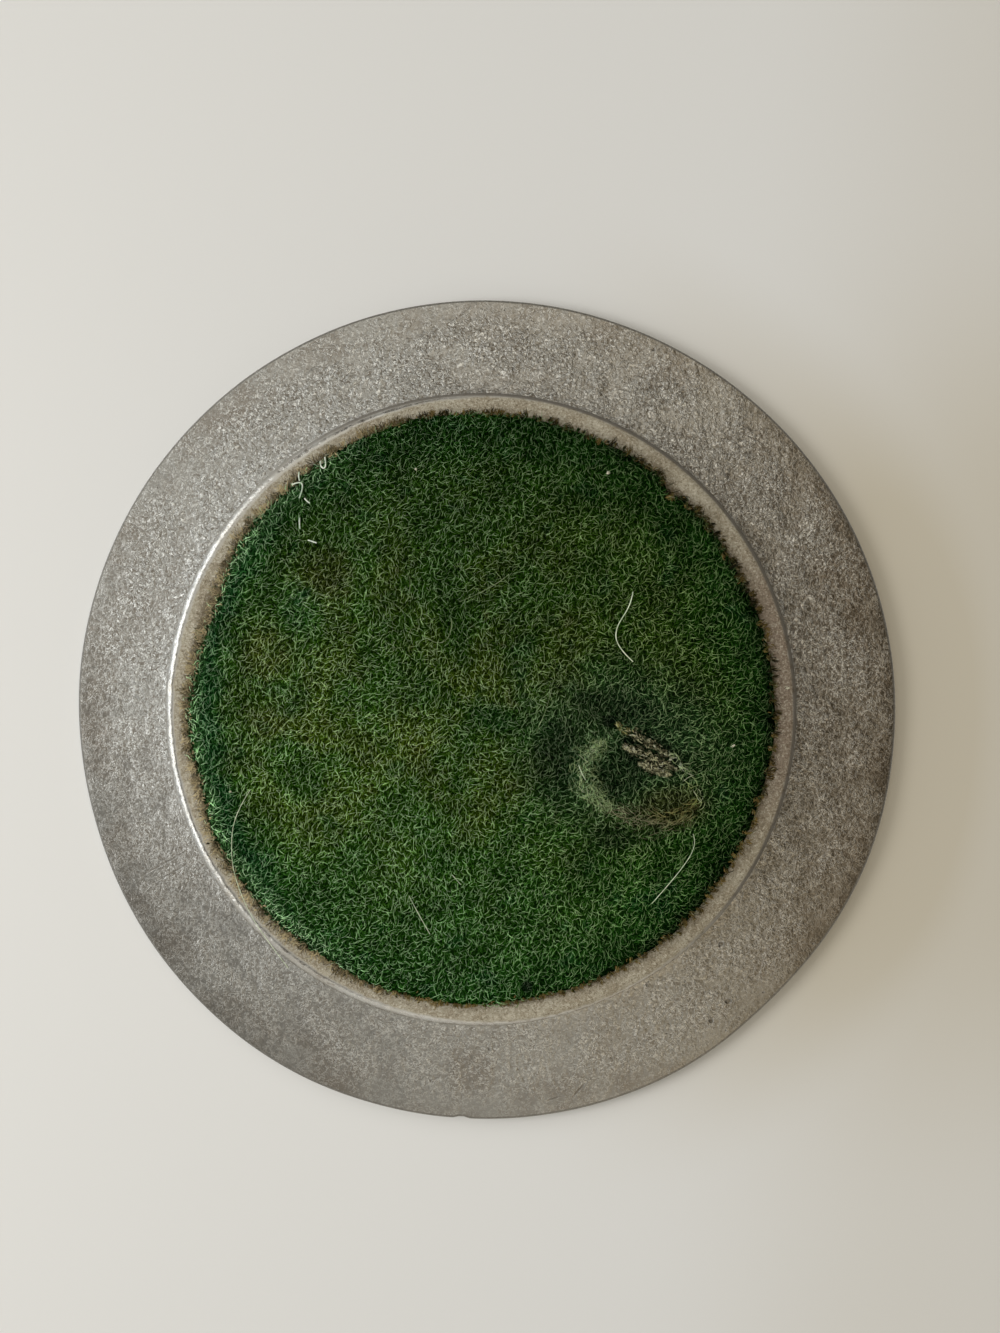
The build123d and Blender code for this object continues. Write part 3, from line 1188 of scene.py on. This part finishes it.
FRINGE = fringe_wool()
fringe = lay_fibres("edge_fringe", fringe_strands(21), FRINGE)
crumbs = lay_fibres("edge_crumbs", crumb_strands(22), FRINGE, joints=2)

# %% [markdown]
# ## The worn patch
# Something has eaten into the felt. Inside the hollow three cords of bare tan wool are left,
# side by side. A curl of matted nap stands up on its left, and a nest of brown and pale fibres
# lies below and on its right. All are bundles of fibres that follow a path, so one function lays
# them along a line of points.

# %% Lay bundles along a path
def along_path(points, shares):
    """Places and headings at shares of a path through points given in mm."""
    points = np.array(points) * MM
    steps = np.linspace(0, 1, len(points))
    x, y = np.interp(shares, steps, points[:, 0]), np.interp(shares, steps, points[:, 1])
    ahead = np.clip(shares + 0.02, 0.04, 1)
    back = ahead - 0.04
    dx = np.interp(ahead, steps, points[:, 0]) - np.interp(back, steps, points[:, 0])
    dy = np.interp(ahead, steps, points[:, 1]) - np.interp(back, steps, points[:, 1])
    return x, y, np.arctan2(dy, dx)


def bundle_strands(seed, points, count, width, height, level, lay, length, thick, tone, lumps=0):
    """Fibres along a path in mm, heaped up towards its middle, with painted shade: darker towards the sides,
    and at the ends of lumps.
    """
    rng = np.random.default_rng(seed)
    shares = rng.uniform(0, 1, count)
    x, y, way = along_path(points, shares)
    side = np.clip(rng.normal(0, 0.45, count), -1, 1)
    breadth = width / 2 * MM * (0.4 + 0.6 * np.sin(math.pi * shares))
    x, y = x - side * breadth * np.sin(way), y + side * breadth * np.cos(way)
    heading = way + rng.normal(0, lay, count)
    lengths = rng.uniform(*length, count) * MM
    x, y = root_of(x, y, heading, lengths)
    heap = level * MM - height * MM * (1 - side**2) * rng.uniform(0.5, 1.0, count)
    bend, wave = rng.normal(0, 0.5 + lay, count), rng.normal(0, 0.3, count)
    rise = rng.uniform(0.0, 0.25, count) * MM
    widths = rng.uniform(*thick, count) * MM
    # Painted shade: darker towards the sides of the heap, and between lumps
    tones = rng.uniform(*tone, count) * (0.45 + 0.55 * (1 - side**2))
    if lumps:
        tones *= 0.15 + 0.85 * np.abs(np.sin(lumps * math.pi * shares + 2.5 * side))
    return [x, y, heap, heading, lengths, bend, wave, rise, widths, tones]


# %% Colour the bare and matted wool
# Places in mm where the bare wool is mustard: x, y, half width, half length, turn in degrees
MUSTARD = [(29.6, 3.6, 2.6, 2.0, 20), (41.0, 19.0, 6.0, 4.0, -8)]
MUSTARD_TINT = colour(0.85, 0.80, 0.40)
# Painted highlight on the palest fibres
TIP_HIGHLIGHT = colour(0.66, 0.68, 0.53)


def loose_wool_of(name, dark, pale):
    finish = new_finish(name)
    tone = finish.tone()
    wool = finish.mix(tone ** 1.3, dark, pale)
    wool = finish.coats(wool, [
        (marks(finish, MUSTARD, 0.9), finish.mix(0.8, wool, MUSTARD_TINT, "MULTIPLY")),
        (finish.ramp(tone, 0.95, 1.5) * 0.8, TIP_HIGHLIGHT),
    ])
    return surface(finish, {"Base Color": wool, "Roughness": 0.8, "Specular IOR Level": 0.1})


BARE = loose_wool_of("bare_wool", colour(0.014, 0.012, 0.005), colour(0.53, 0.52, 0.30))
MATTED = loose_wool_of("matted_wool", colour(0.014, 0.028, 0.009), colour(0.42, 0.56, 0.25))

# %% Lay the cords, the curl, the nest and the wisps
# Paths in mm, from one end to the other
CORD_PATHS = [
    [(28.7, 2.9), (30.6, 4.3), (33.5, 5.8), (36.7, 7.5), (40.0, 9.9)],
    [(30.0, 7.4), (32.6, 8.4), (35.6, 9.7), (38.4, 10.9), (41.0, 12.3)],
    [(33.2, 10.9), (36.2, 12.0), (39.6, 13.4)],
]
CURL_PATH = [(26.5, 6.6), (24.0, 8.0), (22.3, 10.5), (22.0, 13.5), (23.0, 16.5), (25.2, 18.8), (27.6, 20.0)]
NEST_PATH = [(27.5, 20.4), (32.0, 22.4), (37.0, 23.0), (41.5, 21.8), (44.8, 18.6)]
WISP_PATH = [(39.8, 9.0), (42.4, 12.0), (44.6, 15.8), (45.0, 19.6)]

# Each bundle with its wool, its first seed, its paths and what its fibres are like
BUNDLES = {
    "bare_cords": (BARE, 31, CORD_PATHS, {
        "count": 230, "width": 2.7, "height": 0.8, "level": 1.0, "lay": 0.7,
        "length": (0.5, 1.2), "thick": (0.13, 0.24), "tone": (0.1, 1.7), "lumps": 6}),
    "matted_curl": (MATTED, 41, [CURL_PATH], {
        "count": 460, "width": 6.8, "height": 0.5, "level": 0.15, "lay": 0.9,
        "length": (0.8, 2.2), "thick": (0.08, 0.13), "tone": (0.15, 1.4)}),
    "brown_nest": (BARE, 42, [NEST_PATH], {
        "count": 150, "width": 6.6, "height": 0.35, "level": 0.2, "lay": 0.4,
        "length": (1.8, 4.4), "thick": (0.08, 0.13), "tone": (0.0, 1.0)}),
    "pale_wisps": (MATTED, 43, [WISP_PATH], {
        "count": 46, "width": 4.0, "height": 0.4, "level": 0.05, "lay": 0.8,
        "length": (1.4, 3.2), "thick": (0.09, 0.13), "tone": (0.7, 1.7)}),
}
for name, (wool, seed, paths, fibre) in BUNDLES.items():
    strands = [bundle_strands(seed + turn, points, **fibre) for turn, points in enumerate(paths)]
    lay_fibres(name, np.hstack(strands), wool)

# %% [markdown]
# ## Lint
# White and tan bits of lint have caught in the wool and on the glue. Each is a knot of a few short
# fibres, so the same strands make them, all heading different ways from one place.

# %% Drop the lint
# Places in mm: x, y and size
LINT = [
    (30.6, 7.6, 0.5), (31.2, 8.1, 0.5), (32.1, 8.1, 0.55), (52.0, 7.4, 0.6), (-37.5, -46.1, 0.7),
    (-31.6, -50.6, 0.6), (-12.3, -48.9, 0.6), (63.1, -4.4, 0.9), (27.0, -47.9, 0.8), (-50.5, 17.0, 0.5),
    (39.6, 10.2, 0.5),
]
FIBRES_IN_LINT = 9
LINT_JITTER = 0.12 * MM
LINT_DEEPEST = 0.4 * MM
LINT_DULL, LINT_WHITE = colour(0.34, 0.32, 0.20), colour(0.86, 0.84, 0.68)


def lint_strands(seed):
    rng = np.random.default_rng(seed)
    x, y, size = np.repeat(np.array(LINT) * MM, FIBRES_IN_LINT, axis=0).T
    count = len(x)
    heading = rng.uniform(0, 2 * math.pi, count)
    length = size * rng.uniform(0.6, 1.2, count)
    x, y = root_of(x, y, heading, length)
    x = x + rng.normal(0, LINT_JITTER, count)
    y = y + rng.normal(0, LINT_JITTER, count)
    on_glue = np.hypot(x, y) > FELT_RADIUS
    level = np.where(on_glue, GLUE_BOTTOM, np.minimum(felt_face(x, y) - NAP_DEPTH, LINT_DEEPEST))
    bend, wave = rng.normal(0, 1.2, count), rng.normal(0, 0.4, count)
    rise = rng.uniform(0.0, 0.25, count) * MM
    width = rng.uniform(0.12, 0.2, count) * MM
    tone = rng.uniform(0.5, 1.0, count)
    return [x, y, level, heading, length, bend, wave, rise, width, tone]


def white_lint():
    finish = new_finish("white_lint")
    white = finish.mix(finish.tone(), LINT_DULL, LINT_WHITE)
    return surface(finish, {"Base Color": white, "Roughness": 0.7, "Specular IOR Level": 0.2})


lint = lay_fibres("lint", lint_strands(51), white_lint())

# %% [markdown]
# ## Loose hairs and flakes
# A few long hairs lie across the felt, and some thin curled flakes have caught at its edge. Each is
# a line through a few points, so a curve with a little thickness makes it, and the curve is turned
# into a mesh to be a piece like the others.

# %% Where the hairs lie
# Points in mm, from one end to the other
HAIRS = [
    [(-46.3, 16.7), (-49.8, 22.0), (-50.2, 27.5), (-50.0, 33.1), (-47.2, 40.5), (-44.3, 45.4), (-38.3, 53.0)],
    [(44.0, 25.1), (44.9, 27.3), (42.4, 31.4), (39.2, 35.2), (35.7, 39.2)],
    [(-13.5, 38.0), (-12.1, 40.8), (-9.2, 45.8)],
    [(-4.7, 33.7), (-2.9, 35.7)],
    [(21.0, 11.3), (21.5, 12.8), (22.4, 14.3)],
]
FAINT_HAIRS = [
    [(-3.2, -21.8), (0.4, -23.4), (3.6, -24.6), (6.9, -27.4)],
    [(-9.6, -14.4), (-7.2, -12.4), (-4.6, -13.6), (-4.8, -18.4)],
    [(12.4, 4.6), (14.2, 1.2), (15.0, -1.6), (15.6, -4.2)],
    [(-14.0, -22.0), (-13.0, -24.6), (-13.4, -27.0)],
]
STOUT_HAIRS = [
    [(32.0, -23.7), (31.6, -21.2), (29.9, -18.6), (28.3, -16.0), (28.5, -12.8), (32.0, -9.6)],
]
FLAKES = [
    [(-30.9, -51.6), (-30.6, -50.0), (-30.9, -48.9), (-31.9, -49.6), (-31.8, -50.8)],
    [(-36.2, -48.6), (-36.4, -47.6), (-36.1, -46.8)],
    [(-37.6, -46.0), (-36.4, -46.5), (-35.2, -46.6), (-35.6, -44.6), (-36.2, -43.2)],
    [(-35.1, -43.2), (-34.6, -42.5), (-34.0, -42.2)],
    [(-36.1, -39.2), (-36.2, -38.0), (-36.0, -36.9)],
    [(-34.4, -34.6), (-33.4, -34.3), (-32.6, -34.0)],
]


# %% Drop the hairs
HAIR_HEIGHT = 0.25 * MM
CURVE_ORDER = 4
CURVE_STEPS = 8


def hair_place(x, y):
    """A point of a hair given in mm, laid on the nap, or on a hump where one stands out of it."""
    nap_level = float(felt_face(np.float64(x * MM), np.float64(y * MM))) - NAP_DEPTH
    return (x * MM, y * MM, min(0.0, nap_level) - HAIR_HEIGHT, 1)


def draw_lines(name, lines, radius, material):
    """One piece of curves through points, each turned into a thin tube."""
    curve = bpy.data.curves.new(name, "CURVE")
    curve.dimensions = "3D"
    curve.bevel_depth = radius
    curve.bevel_resolution = 1
    curve.use_fill_caps = True
    for points in lines:
        line = curve.splines.new("NURBS")
        line.points.add(len(points) - 1)
        for point, place in zip(line.points, points):
            point.co = hair_place(*place)
        line.use_endpoint_u = True
        line.order_u = min(CURVE_ORDER, len(points))
        line.resolution_u = CURVE_STEPS
    drawn = bpy.data.objects.new(name + "_line", curve)
    mesh = bpy.data.meshes.new_from_object(drawn)
    bpy.data.objects.remove(drawn)
    bpy.data.curves.remove(curve)
    mesh.shade_smooth()
    return dress(name, mesh, [material])


def streaky(name, dull, pale, rough):
    """A pale strand whose colour comes and goes along it."""
    finish = new_finish(name)
    worn = finish.blots(1.6 * MM, 2, 0.5, 0.35, 0.65)
    return surface(finish, {"Base Color": finish.mix(worn, dull, pale), "Roughness": rough})


PALE_HAIR = streaky("pale_hair", colour(0.50, 0.60, 0.40), colour(0.82, 0.92, 0.68), 0.5)
GREEN_HAIR = streaky("green_hair", colour(0.14, 0.21, 0.08), colour(0.36, 0.45, 0.24), 0.6)
GLASSY_FLAKE = streaky("glassy_flake", colour(0.40, 0.54, 0.40), colour(0.86, 0.92, 0.82), 0.3)

# Each piece with its lines, their radius and their material
LOOSE_LINES = {
    "loose_hairs": (HAIRS, 0.065 * MM, PALE_HAIR),
    "stout_hairs": (STOUT_HAIRS, 0.1 * MM, PALE_HAIR),
    "faint_hairs": (FAINT_HAIRS, 0.05 * MM, GREEN_HAIR),
    "edge_flakes": (FLAKES, 0.15 * MM, GLASSY_FLAKE),
}
loose_lines = [draw_lines(name, *drawn) for name, drawn in LOOSE_LINES.items()]

# %% [markdown]
# ## The felt
# The felt was cut as a flat disc and laid on the glue.

# %% [markdown]
# ## The stage
# The coaster is seen from below here and from above in other views. So there are two pale
# sheets: one lies under the felt and shows only from above, and one lies on the rim and shows
# only from below. Each is see-through from behind and stops no light.

# %% Lay the two sheets
SHEET_SIZE = 20.0
SHEET_GAP = 0.2 * MM
PAPER = colour(0.76, 0.76, 0.75)
# Painted shadow of the dish, and of the room's light falling off to the right
PAPER_SHADOW = colour(0.585, 0.54, 0.445)


def pale_paper(name, shaded):
    """Paper that shows from one side. If it is shaded, a painted shadow makes it warm and darker on the right
    and near the rim.
    """
    finish = new_finish(name)
    across, down = finish.axis("X"), finish.axis("Y")
    # Painted shadow: near the rim on the right, and along the right side
    near = finish.ramp(finish.distance_from_axis(), RIM_RADIUS + 26 * MM, RIM_RADIUS + 5 * MM)
    near = near * finish.ramp(across, 10 * MM, 60 * MM)
    far = finish.ramp(across + down * 0.1, 40 * MM, 105 * MM)
    level_with_rim = finish.ramp(down.math("ABSOLUTE"), 40 * MM, 110 * MM, 1.0, 0.4)
    warm = (near * 0.5 + far * 0.8).math("MINIMUM", 1.0) * level_with_rim * shaded
    matt = {"Base Color": finish.mix(warm, PAPER, PAPER_SHADOW), "Roughness": 1.0, "Specular IOR Level": 0.0}
    paper = finish.node("ShaderNodeBsdfPrincipled", None, matt)
    clear = finish.node("ShaderNodeBsdfTransparent")
    behind = finish.node("ShaderNodeNewGeometry", out="Backfacing")
    shown = finish.node("ShaderNodeMixShader", None, {0: behind, 1: paper, 2: clear})
    finish.node("ShaderNodeOutputMaterial", None, {"Surface": shown})
    return finish.material


def lay_sheet(name, level, faces_up, material):
    bm = bmesh.new()
    bmesh.ops.create_grid(bm, x_segments=1, y_segments=1, size=SHEET_SIZE)
    bmesh.ops.translate(bm, verts=bm.verts, vec=(0, 0, level))
    if not faces_up:
        bmesh.ops.reverse_faces(bm, faces=bm.faces)
    mesh = mesh_of(name, bm)
    mesh.materials.append(material)
    sheet = new_object(name, mesh)
    for ray in ("diffuse", "glossy", "transmission", "volume_scatter", "shadow"):
        setattr(sheet, f"visible_{ray}", False)
    print(f"{name} at {level / MM:.1f} mm")


lay_sheet("floor", 0.0, True, pale_paper("floor_paper", 0.0))
lay_sheet("backdrop", RIM_TOP + SHEET_GAP, False, pale_paper("backdrop_paper", 1.0))

# %% [markdown]
# ## The light
# Seen from below, the room has a window on the left, and it is dim and warm on the other side.
# Metal shows its shape by what it mirrors, so this does most of the work: the window lies near the
# horizon, where the round edge of the foot mirrors it, and part of the horizon is dark, which
# draws the thin line at the step. Seen from above, the room is plain and pale. A soft lamp on the
# window's side lights the wool at a low angle, which brings out the nap, and another stands above.

# %% Set the levels
LEVEL_BELOW = 0.84
LEVEL_ABOVE = 0.64
LEVEL_LEAST = 0.05
WINDOW_LEVEL = 2.5
LOW_LIGHT_LEVEL = 0.7
SHADOW_DEPTH = 0.93
ROOM_WHITE = colour(0.99, 0.98, 0.935)
ROOM_WARM = colour(1.0, 0.81, 0.52)
WINDOW_WHITE = colour(0.95, 1.0, 1.05)
LAMP_WHITE = (1.0, 0.985, 0.955)

# Each lamp's place and width in metres, its watts, and whether metal mirrors it
LAMPS = {
    "window_below": ((-0.48, 0.02, -0.38), 0.32, 1.5, False),
    "window_above": ((-0.45, -0.35, 0.60), 0.45, 3.0, True),
}


def near_horizon(finish, up):
    """1 close to the horizon, as seen from below."""
    return finish.ramp(up, -0.56, -0.26)


def window_below(finish, right, down, up):
    """1 in the window, which is low on the left."""
    wide = finish.ramp(down, 0.64, 0.42) * finish.ramp(down, -0.80, -0.52)
    return finish.ramp(right, -0.52, -0.70) * near_horizon(finish, up) * wide


def level_below(finish, right, down, up):
    """The strength of the room's light from below, without the window."""
    dim_side = finish.ramp(right - 0.06 * down, 0.36, 0.58)
    left_side = finish.ramp(right, -0.15, -0.75)
    horizon = near_horizon(finish, up)
    low_light = finish.ramp(down, 0.30, 0.65) * horizon
    shadow = finish.ramp(down, -0.1, -0.6) * horizon
    level = LEVEL_BELOW - 0.83 * dim_side - 0.49 * left_side + down * (right * 0.36 - 0.39)
    return (level * (1 - SHADOW_DEPTH * shadow)).math("MAXIMUM", LEVEL_LEAST) + LOW_LIGHT_LEVEL * low_light


# %% Light it
def light_world():
    world = bpy.data.worlds.new("room")
    world.use_nodes = True
    bpy.context.scene.world = world
    finish = Finish(world.node_tree)
    way = finish.node("ShaderNodeTexCoord", out="Generated")
    ways = {"Vector": way}
    right, down, up = (finish.node("ShaderNodeSeparateXYZ", None, ways, out=axis) for axis in "XYZ")
    below = finish.ramp(up, -0.01, -0.06)
    above_level = LEVEL_ABOVE + 0.35 * finish.ramp(up, 0.25, 0.9)
    window = window_below(finish, right, down, up)
    below_level = level_below(finish, right, down, up) + WINDOW_LEVEL * window
    level = below_level * below + above_level * (1 - below)
    warm_side = finish.ramp(right, 0.0, 0.6) * below
    shade = finish.coats(ROOM_WHITE, [(warm_side, ROOM_WARM), (window, WINDOW_WHITE)])
    room = finish.node("ShaderNodeBackground", None, {"Color": shade, "Strength": level})
    finish.node("ShaderNodeOutputWorld", None, {"Surface": room})


def soft_lamp(name, place, width, watts, mirrored):
    lamp = bpy.data.lights.new(name, "AREA")
    lamp.shape = "DISK"
    lamp.size = width
    lamp.energy = watts
    lamp.color = LAMP_WHITE
    holder = new_object(name, lamp)
    holder.location = place
    holder.rotation_euler = (-Vector(place)).to_track_quat("-Z", "Y").to_euler()
    holder.visible_glossy = mirrored


light_world()
for name, lamp in LAMPS.items():
    soft_lamp(name, *lamp)
print("lamps", sorted(LAMPS))

# %% [markdown]
# ## The last step
# Colours are shown as they are written, with the Standard view.

# %% Finish
bpy.context.scene.view_settings.view_transform = "Standard"
